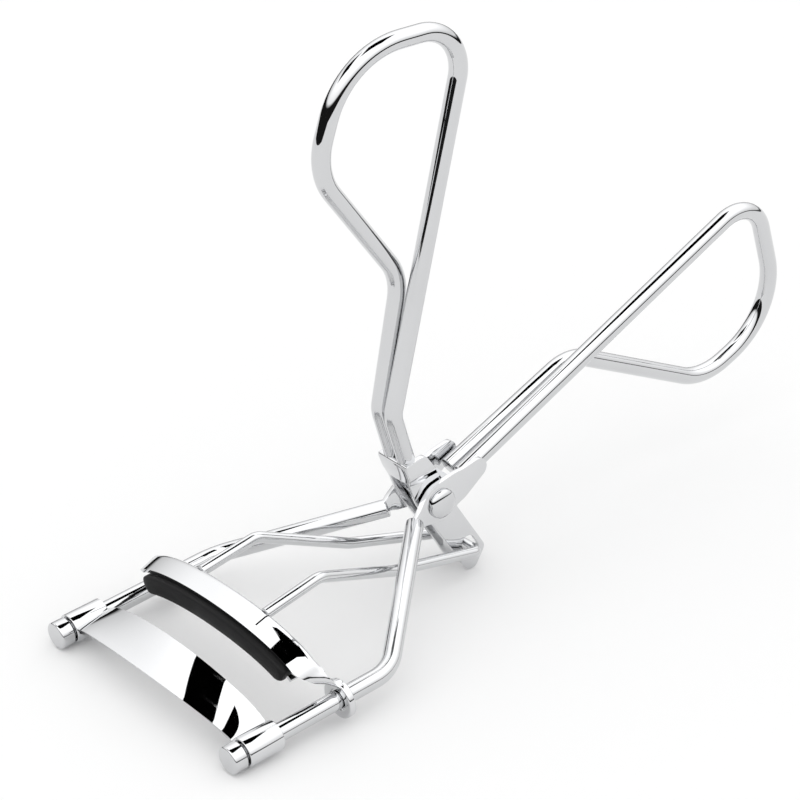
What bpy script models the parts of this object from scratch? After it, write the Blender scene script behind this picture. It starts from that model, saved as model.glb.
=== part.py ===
"""Eyelash curler: a scissor lever drives a padded moving jaw along two guide rods to a fixed jaw.

Every piece is laid out in the mechanism frame, in millimetres: +X across the jaws, +Y from the
rod tips back along the guide rods, +Z up from the plane of the rods. The `stand` empty then tilts
the whole curler onto the table, where it rests on the rod caps and on the foot of the lever.
"""

import math

import bmesh
import bpy
from mathutils import Matrix, Vector

MM = 0.001

# Stance
STAND_TILT = math.radians(4.42)

# Wire and sheet
WIRE_RADIUS = 1.35
PUSH_WIRE_RADIUS = 0.85
SHEET = 0.75
GAP = 0.3

# Guide rods
ROD_X = 20.0
ROD_START_Y = 1.2
ROD_BEND_Y = 28.3
ROD_BEND_RADIUS = 7.0
ROD_END = (3.7, 47.15, 6.5)

# Rod caps and the sleeves of the fixed jaw
CAP_RADIUS = 2.05
CAP_LENGTH = 2.1
CAP_FACE = 0.9
CAP_CHAMFER = 0.3
BORE_RADIUS = WIRE_RADIUS + 0.15
SLEEVE_RADIUS = 2.25
SLEEVE_START_Y = CAP_LENGTH + GAP
SLEEVE_LENGTH = 5.8

# Fixed jaw: a strip between a nearly straight front edge and an arched clamping edge
FIXED_HALF_WIDTH = 18.1
FIXED_FRONT_Y = SLEEVE_START_Y + 0.15
FIXED_FRONT_BOW = 0.5
FIXED_FRONT_END_Z = 0.3
FIXED_FRONT_ARCH = 2.3
FIXED_CLAMP_Y = SLEEVE_START_Y + SLEEVE_LENGTH - 0.15
FIXED_CLAMP_BOW = 1.0
FIXED_CLAMP_END_Z = 0.9
FIXED_CLAMP_ARCH = 5.2

# Moving jaw: a channel that opens forward and arches over the rods, on two eyelets
MOVING_SHEET = 0.6
MOVING_ARCH_HALF_WIDTH = 19.2
MOVING_ARCH_BASE_Z = 2.3
MOVING_ARCH_RISE = 6.3
MOVING_ARCH_POWER = 0.38
CHANNEL_HALF_WIDTH = 17.2
CHANNEL_FRONT_Y = 13.9
CHANNEL_BACK_Y = 17.3
CHANNEL_BACK_RISE = 0.9
CHANNEL_DEPTH = 2.9
CHANNEL_LIP_Y = 14.6
EYELET_Y = 19.5
EYELET_RADIUS = 2.9
EYELET_BORE = WIRE_RADIUS + 0.25
EYELET_LENGTH = 1.1

# Silicone pad, held in the channel and standing proud of it
PAD_HALF_LENGTH = 16.6
PAD_FRONT_Y = 12.9
PAD_LOBE_Y = 14.0
PAD_BACK_Y = 16.8
PAD_HEIGHT = 2.8
PAD_STEM_DROP = 1.85

# Pivot and yokes
PIVOT_Y, PIVOT_Z = 52.7, 8.3
RIVET_RADIUS = 1.15
RIVET_CLEARANCE = 0.2
RIVET_HEAD_RADIUS = 2.3
RIVET_HEAD_HEIGHT = 1.2
FRAME_CHEEK_INNER_X = 2.7
FRAME_CHEEK_FLARE = 0.3
FRAME_CHEEK_DISCS = ((49.1, 7.5, 1.1), (52.6, 8.4, 3.2), (59.8, 11.0, 1.6))
FRAME_WEB = ((56.6, 7.3), (58.1, 8.25), (57.75, 8.85), (56.25, 7.9))
LEVER_HALF_WIDTH = 2.4
LEVER_SHEET = 0.7
LEVER_WEB_END_Z = 12.8
LEVER_FRONT_EDGE = ((46.9, 16.8), (49.2, 8.9), (52.2, 3.6), (55.4, -2.2), (56.7, -4.9))
LEVER_FOOT = ((57.7, -6.5), (59.2, -6.616))
LEVER_BACK_EDGE = ((61.3, -3.7), (56.4, 5.6), (55.3, 8.6), (54.2, 11.2), (50.8, 17.2))

# Push wires and the slots that take their hooks
HOOK_Y, HOOK_Z = 58.8, -3.1
HOOK_TIP_X = 0.35
PUSH_WIRE_X = 3.6
SLOT_INNER_RADIUS, SLOT_OUTER_RADIUS = 11.35, 13.05
SLOT_CLEARANCE = 0.3

# Finger loops: corners of each wire as (along, outward) of the grip line, and their bend radii
WIRE_OFFSET_X = 1.4
LEVER_WIRE_START = (48.35, 17.5)
LEVER_KNEE = (46.75, 24.9)
LEVER_GRIP_ANGLE = math.radians(71.6)
LEVER_LOOP = ((57.7, 0.0), (52.9, 20.2), (36.3, 20.8), (20.0, 1.0))
FRAME_WIRE_START = (58.3, 9.68)
FRAME_GRIP_ANGLE = math.radians(20.3)
FRAME_LOOP = ((64.9, 0.0), (62.2, 24.2), (45.2, 24.4), (26.0, 0.8))
LOOP_RADII = (6.5, 12.0, 10.0, 8.0)


def new_material(name, colour, metallic, roughness):
    material = bpy.data.materials.new(name)
    material.use_nodes = True
    shader = material.node_tree.nodes["Principled BSDF"]
    shader.inputs["Base Color"].default_value = (*colour, 1.0)
    shader.inputs["Metallic"].default_value = metallic
    shader.inputs["Roughness"].default_value = roughness
    return material


def chrome(name):
    return new_material(name, (0.86, 0.87, 0.88), 1.0, 0.07)


def new_empty(name, collection, parent, offset):
    """An empty at `offset` in the mechanism frame; its children are still modelled in that frame."""
    empty = bpy.data.objects.new(name, None)
    empty.empty_display_size = 4 * MM
    collection.objects.link(empty)
    empty.parent = parent
    empty.location = Vector(offset) * MM
    return empty


def add_piece(obj, empty, material):
    parts.objects.link(obj)
    # Meshes are written in the mechanism frame, so each backs out its joint's offset.
    offset = -empty.location if empty is not stand else Vector()
    operands = [mod.object for mod in obj.modifiers if mod.type == "BOOLEAN"]
    for member in [obj, *operands]:
        member.parent = empty
        member.location = offset
    obj.data.materials.clear()
    obj.data.materials.append(material)
    return obj


def mesh_object(name, bm):
    bmesh.ops.recalc_face_normals(bm, faces=bm.faces)
    mesh = bpy.data.meshes.new(name)
    bm.to_mesh(mesh)
    bm.free()
    return bpy.data.objects.new(name, mesh)


def smooth(obj, angle=35):
    obj.data.shade_smooth()
    obj.data.set_sharp_from_angle(angle=math.radians(angle))


def as_mesh(obj):
    """Replaces a curve, or an object with modifiers, by its evaluated mesh."""
    scratch.objects.link(obj)
    bpy.context.view_layer.update()
    graph = bpy.context.evaluated_depsgraph_get()
    mesh = bpy.data.meshes.new_from_object(obj.evaluated_get(graph))
    name = obj.name
    matrix = obj.matrix_world.copy()
    bpy.data.objects.remove(obj)
    bm = bmesh.new()
    bm.from_mesh(mesh)
    bmesh.ops.remove_doubles(bm, verts=bm.verts, dist=0.001 * MM)
    bmesh.ops.recalc_face_normals(bm, faces=bm.faces)
    bm.to_mesh(mesh)
    bm.free()
    made = bpy.data.objects.new(name, mesh)
    made.matrix_world = matrix
    return made


def boolean(obj, other, operation):
    """Adds a Boolean whose operand is kept with the cutters."""
    if other.name not in cutters.objects:
        cutters.objects.link(other)
    other.hide_render = True
    other.display_type = "WIRE"
    modifier = obj.modifiers.new(operation.title(), "BOOLEAN")
    modifier.operation = operation
    modifier.object = other
    modifier.solver = "EXACT"


def rounded_path(corners, radii, arc_step=math.radians(12)):
    """The corners' polyline with each inner corner replaced by an arc of its radius."""
    corners = [Vector(corner) for corner in corners]
    points = [corners[0]]
    for before, corner, after, radius in zip(corners, corners[1:], corners[2:], radii):
        to_before = (before - corner).normalized()
        to_after = (after - corner).normalized()
        half_angle = to_before.angle(to_after) / 2
        turn = math.pi - 2 * half_angle
        centre = corner + (to_before + to_after).normalized() * radius / math.sin(half_angle)
        start = corner + to_before * radius / math.tan(half_angle)
        axis = to_before.cross(to_after).normalized()
        steps = max(2, round(turn / arc_step))
        for step in range(steps + 1):
            spin = Matrix.Rotation(-turn * step / steps, 3, axis)
            points.append(centre + spin @ (start - centre))
    points.append(corners[-1])
    return points


def wire(name, points, radius):
    curve = bpy.data.curves.new(name, "CURVE")
    curve.dimensions = "3D"
    curve.bevel_depth = radius * MM
    curve.bevel_resolution = 3
    curve.use_fill_caps = True
    spline = curve.splines.new("POLY")
    spline.points.add(len(points) - 1)
    for target, point in zip(spline.points, points):
        target.co = (*(Vector(point) * MM), 1.0)
    return bpy.data.objects.new(name, curve)


def plate(name, outline, x_low, x_high):
    """A flat outline in YZ, extruded from x_low to x_high."""
    curve = bpy.data.curves.new(name, "CURVE")
    curve.dimensions = "2D"
    curve.fill_mode = "BOTH"
    curve.extrude = (x_high - x_low) / 2 * MM
    spline = curve.splines.new("POLY")
    spline.use_cyclic_u = True
    spline.points.add(len(outline) - 1)
    for target, (y, z) in zip(spline.points, outline):
        target.co = (y * MM, z * MM, 0.0, 1.0)
    obj = bpy.data.objects.new(name, curve)
    # The curve's own X, Y and Z become the mechanism's Y, Z and X.
    turn = Matrix(((0, 0, 1), (1, 0, 0), (0, 1, 0))).to_4x4()
    obj.matrix_world = Matrix.Translation(((x_low + x_high) / 2 * MM, 0, 0)) @ turn
    made = as_mesh(obj)
    made.data.transform(made.matrix_world)
    made.matrix_world = Matrix.Identity(4)
    return made


def turned(name, profile, axis, centre, closed=False, steps=28):
    """A (radius, along) profile turned about an axis; it runs down the outer side first."""
    bm = bmesh.new()
    verts = [bm.verts.new((radius * MM, 0, along * MM)) for radius, along in profile]
    for first, second in zip(verts, verts[1:]):
        bm.edges.new((first, second))
    if closed:
        bm.edges.new((verts[-1], verts[0]))
    mesh = bpy.data.meshes.new(name)
    bm.to_mesh(mesh)
    bm.free()
    obj = bpy.data.objects.new(name, mesh)
    screw = obj.modifiers.new("Screw", "SCREW")
    screw.axis = "Z"
    screw.steps = steps
    screw.render_steps = steps
    screw.use_merge_vertices = True
    screw.merge_threshold = 0.00001
    turn = Vector((0, 0, 1)).rotation_difference(Vector(axis)).to_matrix().to_4x4()
    made = as_mesh(obj)
    made.data.transform(Matrix.Translation(Vector(centre) * MM) @ turn)
    return made


def strip(name, rows, thickness, mirrored=True):
    """A sheet through rows of points, from the middle plane outwards, then mirrored in X."""
    bm = bmesh.new()
    grid = [[bm.verts.new(Vector(point) * MM) for point in row] for row in rows]
    for row, following in zip(grid, grid[1:]):
        for a, b, c, d in zip(row, row[1:], following[1:], following):
            bm.faces.new((a, b, c, d))
    obj = mesh_object(name, bm)
    if mirrored:
        mirror = obj.modifiers.new("Mirror", "MIRROR")
        mirror.merge_threshold = 0.00001
    solidify = obj.modifiers.new("Solidify", "SOLIDIFY")
    solidify.thickness = thickness * MM
    solidify.offset = 0
    solidify.use_even_offset = True
    return obj


def disc_hull(discs, samples=40):
    """The outline wrapped round discs given as (y, z, radius), anticlockwise."""
    points = []
    for y, z, radius in discs:
        for index in range(samples):
            angle = 2 * math.pi * index / samples
            points.append((y + radius * math.cos(angle), z + radius * math.sin(angle)))
    points.sort()

    def chain(ordered):
        hull = []
        for point in ordered:
            while len(hull) > 1 and turn_of(hull[-2], hull[-1], point) <= 0:
                hull.pop()
            hull.append(point)
        return hull[:-1]

    return chain(points) + chain(points[::-1])


def turn_of(a, b, c):
    return (b[0] - a[0]) * (c[1] - a[1]) - (b[1] - a[1]) * (c[0] - a[0])


def smoothstep(value):
    value = min(max(value, 0.0), 1.0)
    return value * value * (3 - 2 * value)


def pin_cutter(name, radius, half_length):
    bm = bmesh.new()
    bmesh.ops.create_cone(
        bm,
        cap_ends=True,
        segments=32,
        radius1=radius * MM,
        radius2=radius * MM,
        depth=2 * half_length * MM,
        matrix=Matrix.Translation(Vector((0, PIVOT_Y, PIVOT_Z)) * MM)
        @ Matrix.Rotation(math.pi / 2, 4, "Y"),
    )
    return mesh_object(name, bm)


def make_guide_rod(side, name):
    corners = [
        (side * ROD_X, ROD_START_Y, 0),
        (side * ROD_X, ROD_BEND_Y, 0),
        (side * ROD_END[0], ROD_END[1], ROD_END[2]),
    ]
    rod = wire(name, rounded_path(corners, [ROD_BEND_RADIUS]), WIRE_RADIUS)
    return add_piece(rod, stand, chrome(name))


def make_rod_cap(side, name):
    """A turned cup pressed over the tip of a guide rod."""
    profile = [
        (0, CAP_LENGTH - CAP_FACE),
        (BORE_RADIUS, CAP_LENGTH - CAP_FACE),
        (BORE_RADIUS, 0),
        (CAP_RADIUS - CAP_CHAMFER / 2, 0),
        (CAP_RADIUS, CAP_CHAMFER / 2),
        (CAP_RADIUS, CAP_LENGTH - CAP_CHAMFER),
        (CAP_RADIUS - CAP_CHAMFER, CAP_LENGTH),
        (0, CAP_LENGTH),
    ]
    cap = turned(name, profile[::-1], (0, -1, 0), (side * ROD_X, CAP_LENGTH, 0))
    smooth(cap)
    return add_piece(cap, stand, chrome(name))


def make_fixed_jaw():
    rows = []
    stations, across = 22, 4
    for station in range(stations + 1):
        x = FIXED_HALF_WIDTH * math.sin(math.pi / 2 * station / stations)
        s = x / FIXED_HALF_WIDTH
        crown = max(0.0, 1 - s * s)
        front_y = FIXED_FRONT_Y - FIXED_FRONT_BOW * crown
        back_y = FIXED_CLAMP_Y - FIXED_CLAMP_BOW * crown
        front = Vector((x, front_y, FIXED_FRONT_END_Z + FIXED_FRONT_ARCH * crown**0.55))
        back = Vector((x, back_y, FIXED_CLAMP_END_Z + FIXED_CLAMP_ARCH * crown**0.7))
        rows.append([front.lerp(back, step / across) for step in range(across + 1)])
    jaw = strip("fixed_jaw", rows, SHEET)
    # The ends of the sheet are rolled into sleeves round the rods.
    profile = [
        (SLEEVE_RADIUS, SLEEVE_LENGTH),
        (SLEEVE_RADIUS, 0),
        (BORE_RADIUS, 0),
        (BORE_RADIUS, SLEEVE_LENGTH),
    ]
    for side in (-1, 1):
        centre = (side * ROD_X, SLEEVE_START_Y, 0)
        boolean(jaw, turned(f"sleeve_{side}", profile, (0, 1, 0), centre, closed=True), "UNION")
    smooth(jaw)
    return add_piece(jaw, stand, chrome("fixed_jaw"))


def moving_arch(x):
    """Height of the channel's front edge over the rods, at x."""
    s = abs(x) / MOVING_ARCH_HALF_WIDTH
    return MOVING_ARCH_BASE_Z + MOVING_ARCH_RISE * (1 - s * s) ** MOVING_ARCH_POWER


def arch_frame(x):
    """The point on the arch at x and the normal that points out of it, both in the XZ plane."""
    step = 0.01
    slope = (moving_arch(x + step) - moving_arch(x - step)) / (2 * step)
    return Vector((x, 0, moving_arch(x))), Vector((-slope, 0, 1)).normalized()


def bezier(points, t):
    a, b, c = (Vector(point) for point in points)
    return a * (1 - t) ** 2 + b * 2 * t * (1 - t) + c * t**2


def make_moving_jaw():
    # One folded sheet: top plate, back wall and lower lip, from the middle outwards.
    rows = []
    stations = 14
    for station in range(stations + 1):
        x = CHANNEL_HALF_WIDTH * station / stations
        point, normal = arch_frame(x)
        front = point + Vector((0, CHANNEL_FRONT_Y, 0))
        back = point + normal * CHANNEL_BACK_RISE + Vector((0, CHANNEL_BACK_Y, 0))
        bend = point - normal * CHANNEL_DEPTH
        low_back = bend + Vector((0, CHANNEL_BACK_Y, 0))
        low_front = bend + Vector((0, CHANNEL_LIP_Y, 0))
        rows.append([front, front.lerp(back, 0.5), back, low_back, low_front])
    # The top plate alone runs on past the channel and turns down to the eyelets.
    front_leg = (rows[-1][0], (19.0, 14.6, 4.4), (18.7, EYELET_Y, 2.2))
    back_leg = (rows[-1][2], (19.7, 17.6, 4.7), (21.3, EYELET_Y, 2.2))
    leg_stations = 6
    for station in range(1, leg_stations + 1):
        t = station / leg_stations
        front, back = bezier(front_leg, t), bezier(back_leg, t)
        rows.append([front, front.lerp(back, 0.5), back])
    jaw = strip("moving_jaw", rows, MOVING_SHEET)

    for side in (-1, 1):
        profile = [
            (EYELET_RADIUS, EYELET_LENGTH),
            (EYELET_RADIUS, 0),
            (EYELET_BORE, 0),
            (EYELET_BORE, EYELET_LENGTH),
        ]
        centre = (side * ROD_X, EYELET_Y - EYELET_LENGTH / 2, 0)
        boolean(jaw, turned(f"eyelet_{side}", profile, (0, 1, 0), centre, closed=True), "UNION")
    smooth(jaw)
    return add_piece(jaw, carriage, chrome("moving_jaw"))


def make_silicone_pad():
    """A moulded strip that follows the arch inside the channel, rounded at its ends."""
    stations = 16
    top_gap = MOVING_SHEET / 2 + 0.15
    bm = bmesh.new()
    rings = []
    for station in range(stations + 1):
        x = PAD_HALF_LENGTH * math.sin(math.pi / 2 * station / stations)
        point, normal = arch_frame(x)
        past = max(0.0, x - PAD_HALF_LENGTH + 1.6) / 1.6
        shrink = 1 - 0.45 * (1 - math.sqrt(max(0.0, 1 - past**2)))
        # The lobe in front hangs over the channel's lip; the stem behind it fills the channel.
        profile = (
            (PAD_LOBE_Y - 0.3, 0.0),
            (PAD_FRONT_Y + 0.3, 0.0),
            (PAD_FRONT_Y, 0.12),
            (PAD_FRONT_Y, 0.9),
            (PAD_FRONT_Y + 0.35, 1.0),
            (PAD_LOBE_Y, 1.0),
            (PAD_LOBE_Y, PAD_STEM_DROP / PAD_HEIGHT),
            (PAD_BACK_Y, PAD_STEM_DROP / PAD_HEIGHT),
            (PAD_BACK_Y, 0.0),
        )
        ring = []
        for y, drop in profile:
            down = top_gap + PAD_HEIGHT * drop * shrink
            ring.append(bm.verts.new((point - normal * down + Vector((0, y, 0))) * MM))
        rings.append(ring)
    for ring, following in zip(rings, rings[1:]):
        for index in range(len(ring)):
            after = (index + 1) % len(ring)
            bm.faces.new((ring[index], ring[after], following[after], following[index]))
    bm.faces.new(rings[-1])
    pad = mesh_object("silicone_pad", bm)
    mirror = pad.modifiers.new("Mirror", "MIRROR")
    mirror.merge_threshold = 0.00001
    smooth(pad)
    return add_piece(pad, carriage, new_material("silicone_pad", (0.012, 0.012, 0.013), 0.0, 0.45))


def make_push_wire(side, name):
    start_y = CHANNEL_BACK_Y + MOVING_SHEET / 2 + 0.35
    corners = [
        (side * 7.3, start_y, 9.1),
        (side * 7.1, 27.2, 9.9),
        (side * 5.0, 41.8, 2.6),
        (side * PUSH_WIRE_X, HOOK_Y, HOOK_Z),
        (side * HOOK_TIP_X, HOOK_Y, HOOK_Z),
    ]
    push = wire(name, rounded_path(corners, [3.0, 8.0, 1.1]), PUSH_WIRE_RADIUS)
    return add_piece(push, carriage, chrome(name))


def cheek_inner_x(y):
    """The frame's cheeks stand close to the lever at the pivot and spread before and behind it."""
    distance = abs(y - PIVOT_Y)
    return FRAME_CHEEK_INNER_X + FRAME_CHEEK_FLARE * smoothstep((distance - 2.6) / 1.9)


def make_frame_yoke():
    outline = disc_hull(FRAME_CHEEK_DISCS)
    cheeks = []
    for side in (-1, 1):
        bm = bmesh.new()
        bm.faces.new([bm.verts.new((0, y * MM, z * MM)) for y, z in outline])
        for index in range(27):
            y = 48.2 + 0.5 * index
            geometry = bm.verts[:] + bm.edges[:] + bm.faces[:]
            bmesh.ops.bisect_plane(
                bm, geom=geometry, plane_co=(0, y * MM, 0), plane_no=(0, 1, 0)
            )
        for vert in bm.verts:
            vert.co.x = side * (cheek_inner_x(vert.co.y / MM) + SHEET / 2) * MM
        cheek = mesh_object(f"frame_cheek_{side}", bm)
        solidify = cheek.modifiers.new("Solidify", "SOLIDIFY")
        solidify.thickness = SHEET * MM
        solidify.offset = 0
        cheeks.append(as_mesh(cheek))
    yoke, other = cheeks
    yoke.name = "frame_yoke"
    boolean(yoke, other, "UNION")

    # The web joins the cheeks just ahead of the ends of the handle wires.
    half = FRAME_CHEEK_INNER_X + FRAME_CHEEK_FLARE + SHEET * 0.6
    web = plate("frame_web", FRAME_WEB, -half, half)
    boolean(yoke, web, "UNION")
    hole = pin_cutter("frame_pin_hole", RIVET_RADIUS + RIVET_CLEARANCE, 8)
    boolean(yoke, hole, "DIFFERENCE")
    smooth(yoke)
    return add_piece(yoke, stand, chrome("frame_yoke"))


def slot_outline():
    """The hook's slot: a round-ended slot that points at the pivot."""
    direction = Vector((HOOK_Y - PIVOT_Y, HOOK_Z - PIVOT_Z)).normalized()
    pivot = Vector((PIVOT_Y, PIVOT_Z))
    ends = [pivot + direction * radius for radius in (SLOT_INNER_RADIUS, SLOT_OUTER_RADIUS)]
    return disc_hull([(end.x, end.y, PUSH_WIRE_RADIUS + SLOT_CLEARANCE) for end in ends], 24)


def make_lever_yoke():
    outline = [*LEVER_FRONT_EDGE, *LEVER_FOOT, *LEVER_BACK_EDGE]
    yoke = plate("lever_yoke", outline, -LEVER_HALF_WIDTH, LEVER_HALF_WIDTH)
    # The channel is open at the back, and below its short web it is open in front too.
    (top_y, top_z), (next_y, next_z) = LEVER_FRONT_EDGE[:2]
    slope = (next_y - top_y) / (next_z - top_z)
    web_y = top_y + slope * (LEVER_WEB_END_Z - top_z) + LEVER_SHEET * 1.05
    hollow = [
        (web_y + slope * 6.0, LEVER_WEB_END_Z + 6.0),
        (web_y, LEVER_WEB_END_Z),
        (web_y - 6.0, LEVER_WEB_END_Z),
        (web_y - 6.0, -9.0),
        (66.0, -9.0),
        (66.0, LEVER_WEB_END_Z + 6.0),
    ]
    inner = LEVER_HALF_WIDTH - LEVER_SHEET
    boolean(yoke, plate("lever_hollow", hollow, -inner, inner), "DIFFERENCE")
    hole = pin_cutter("lever_pin_hole", RIVET_RADIUS + RIVET_CLEARANCE, 6)
    boolean(yoke, hole, "DIFFERENCE")
    slot = plate("hook_slot", slot_outline(), -6, 6)
    boolean(yoke, slot, "DIFFERENCE")
    return add_piece(yoke, lever, chrome("lever_yoke"))


def make_pivot_rivet():
    """A shank with a domed head on each side of the frame's cheeks."""
    outer = FRAME_CHEEK_INNER_X + SHEET + 0.15
    crown = RIVET_HEAD_HEIGHT
    steps = 6
    dome = []
    for index in range(steps + 1):
        angle = math.pi / 2 * index / steps
        dome.append((RIVET_HEAD_RADIUS * math.sin(angle), outer + crown * math.cos(angle)))
    profile = dome + [(RIVET_RADIUS, outer), (RIVET_RADIUS, -outer)]
    profile += [(radius, -along) for radius, along in dome[::-1]]
    rivet = turned("pivot_rivet", profile, (1, 0, 0), (0, PIVOT_Y, PIVOT_Z))
    smooth(rivet)
    return add_piece(rivet, stand, chrome("pivot_rivet"))


def loop_corners(origin, angle, outward_sign, loop):
    """The loop's corners in space: out on the +X wire, round the loop, and back on the other."""
    along = Vector((0, math.cos(angle), math.sin(angle)))
    outward = Vector((0, -along.z, along.y)) * outward_sign
    offsets = (WIRE_OFFSET_X, WIRE_OFFSET_X / 3, -WIRE_OFFSET_X / 3, -WIRE_OFFSET_X)
    start = Vector((0, *origin))
    return [
        start + along * u + outward * w + Vector((x, 0, 0)) for (u, w), x in zip(loop, offsets)
    ]


def make_lever_handle():
    knee = [Vector((side * WIRE_OFFSET_X, *LEVER_KNEE)) for side in (1, -1)]
    start = [Vector((side * WIRE_OFFSET_X, *LEVER_WIRE_START)) for side in (1, -1)]
    middle = loop_corners(LEVER_KNEE, LEVER_GRIP_ANGLE, 1, LEVER_LOOP)
    corners = [start[0], knee[0], *middle, knee[1], start[1]]
    radii = [4.0, *LOOP_RADII, 4.0]
    handle = wire("lever_handle_loop", rounded_path(corners, radii), WIRE_RADIUS)
    return add_piece(handle, lever, chrome("lever_handle_loop"))


def make_frame_handle():
    start = [Vector((side * WIRE_OFFSET_X, *FRAME_WIRE_START)) for side in (1, -1)]
    middle = loop_corners(FRAME_WIRE_START, FRAME_GRIP_ANGLE, -1, FRAME_LOOP)
    corners = [start[0], *middle, start[1]]
    handle = wire("frame_handle_loop", rounded_path(corners, LOOP_RADII), WIRE_RADIUS)
    return add_piece(handle, stand, chrome("frame_handle_loop"))


def world_bounds():
    bpy.context.view_layer.update()
    graph = bpy.context.evaluated_depsgraph_get()
    corners = []
    for obj in parts.objects:
        if obj.type == "EMPTY":
            continue
        evaluated = obj.evaluated_get(graph)
        mesh = evaluated.to_mesh()
        corners += [obj.matrix_world @ vert.co for vert in mesh.vertices]
        evaluated.to_mesh_clear()
    low = Vector([min(corner[axis] for corner in corners) for axis in range(3)])
    high = Vector([max(corner[axis] for corner in corners) for axis in range(3)])
    return low, high


for leftover in list(bpy.data.objects):
    bpy.data.objects.remove(leftover)

parts = bpy.data.collections.new("eyelash_curler")
cutters = bpy.data.collections.new("cutters")
scratch = bpy.data.collections.new("scratch")
for collection in (parts, cutters, scratch):
    bpy.context.scene.collection.children.link(collection)
cutters.hide_render = True

stand = new_empty("stand", parts, None, (0, 0, 0))
lever = new_empty("lever_axis", parts, stand, (0, PIVOT_Y, PIVOT_Z))
carriage = new_empty("carriage_slide", parts, stand, (0, EYELET_Y, 0))

for side, side_name in ((-1, "left"), (1, "right")):
    make_guide_rod(side, f"{side_name}_guide_rod")
    make_rod_cap(side, f"{side_name}_rod_cap")
    make_push_wire(side, f"{side_name}_push_wire")
make_fixed_jaw()
make_moving_jaw()
make_silicone_pad()
make_frame_yoke()
make_lever_yoke()
make_pivot_rivet()
make_frame_handle()
make_lever_handle()

bpy.data.collections.remove(scratch)
stand.rotation_euler = (STAND_TILT, 0, 0)
lowest, highest = world_bounds()
stand.location = (0, -(lowest.y + highest.y) / 2, -lowest.z)
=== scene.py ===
"""Chrome eyelash curler standing open on a white table, in soft studio light.

Points are written in the mechanism frame, in millimetres: +X across the jaws, +Y from the rod tips
back along the guide rods, +Z up from the plane of the rods. finish_piece turns them into metres and
stands them on the table with STAND.
"""

import math

import bmesh
import bpy
from mathutils import Matrix, Vector


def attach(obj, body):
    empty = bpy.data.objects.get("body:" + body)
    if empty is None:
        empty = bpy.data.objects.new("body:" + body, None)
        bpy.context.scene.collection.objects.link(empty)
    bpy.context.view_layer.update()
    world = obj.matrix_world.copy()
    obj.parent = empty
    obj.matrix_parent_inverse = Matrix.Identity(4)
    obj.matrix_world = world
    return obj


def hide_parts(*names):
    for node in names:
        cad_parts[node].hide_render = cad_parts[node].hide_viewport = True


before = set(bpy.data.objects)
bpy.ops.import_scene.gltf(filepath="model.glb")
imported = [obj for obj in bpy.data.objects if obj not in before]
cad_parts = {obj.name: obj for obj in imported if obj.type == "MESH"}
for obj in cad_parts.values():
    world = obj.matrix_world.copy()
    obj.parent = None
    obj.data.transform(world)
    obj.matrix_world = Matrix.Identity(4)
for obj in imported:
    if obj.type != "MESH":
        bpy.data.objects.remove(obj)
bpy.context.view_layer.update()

MM = 0.001

# Stance of the mechanism on the table
STAND_TILT = math.radians(4.42)
STAND_AT = Vector((0.0, -0.0611961, 0.0020583))
STAND = Matrix.Translation(STAND_AT) @ Matrix.Rotation(STAND_TILT, 4, "X")

# Camera in the mechanism frame
CAMERA_AT = (296.02, -181.16, 257.05)
CAMERA_AZIMUTH = math.radians(52.09)
CAMERA_ELEVATION = math.radians(31.65)
CAMERA_ROLL = math.radians(-4.47)
CAMERA_LENS = 140.47
SENSOR = 36.0

# Wire and sheet
WIRE_RADIUS = 1.35
PUSH_WIRE_RADIUS = 0.85
SHEET = 0.75

# Guide rods, caps and sleeves
ROD_X = 20.0
ROD_START_Y = 1.2
ROD_BEND_Y = 28.3
ROD_BEND_RADIUS = 7.0
ROD_END = (2.95, 48.02, 6.8)
CAP_RADIUS = 2.05
CAP_LENGTH = 2.1
BORE_RADIUS = WIRE_RADIUS + 0.12
SLEEVE_RADIUS = 2.25
SLEEVE_START_Y = 2.4
SLEEVE_LENGTH = 5.8

# Fixed jaw
FIXED_HALF_WIDTH = 18.1
FIXED_FRONT_Y = SLEEVE_START_Y + 0.15
FIXED_FRONT_BOW = 0.5
FIXED_FRONT_END_Z = 0.3
FIXED_FRONT_ARCH = 2.3
FIXED_CLAMP_Y = SLEEVE_START_Y + SLEEVE_LENGTH - 0.15
FIXED_CLAMP_BOW = 1.0
FIXED_CLAMP_END_Z = 0.9
FIXED_CLAMP_ARCH = 5.2
FIXED_FRONT_POWER, FIXED_CLAMP_POWER = 0.55, 0.7

# Moving jaw and its eyelets
MOVING_SHEET = 0.6
MOVING_ARCH_HALF_WIDTH = 19.2
MOVING_ARCH_BASE_Z = 2.3
MOVING_ARCH_RISE = 6.3
MOVING_ARCH_POWER = 0.38
CHANNEL_HALF_WIDTH = 17.2
CHANNEL_FRONT_Y = 13.9
CHANNEL_BACK_Y = 17.3
CHANNEL_BACK_RISE = 0.9
CHANNEL_DEPTH = 2.9
CHANNEL_LIP_Y = 14.6
EYELET_Y = 19.5
EYELET_RADIUS = 2.9
EYELET_BORE = WIRE_RADIUS + 0.22
EYELET_LENGTH = 1.1
EYELET_EASE = 0.2

# The two edges of the legs that run from the channel's ends to the eyelets
LEG_FRONT_TOWARDS, LEG_FRONT_END = (19.0, 14.6, 4.4), (18.7, EYELET_Y, 2.2)
LEG_BACK_TOWARDS, LEG_BACK_END = (19.7, 17.6, 4.7), (21.3, EYELET_Y, 2.2)
LEG_DROOP_RATE = 2.5

# Slit in the moving jaw's top plate
SLIT_X = 8.35
SLIT_WIDTH, SLIT_LENGTH, SLIT_HEIGHT = 0.28, 2.4, 3.0
SLIT_SETBACK = 1.15

# Silicone strip
PAD_HALF_LENGTH = 16.6
PAD_FRONT_Y = 12.9
PAD_LOBE_Y = 14.0
PAD_BACK_Y = 16.8
PAD_HEIGHT = 2.8
PAD_STEM_DROP = 1.85
PAD_END_LENGTH = 1.7
PAD_SWELL = 0.10
PAD_TUCK = 0.55

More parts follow.
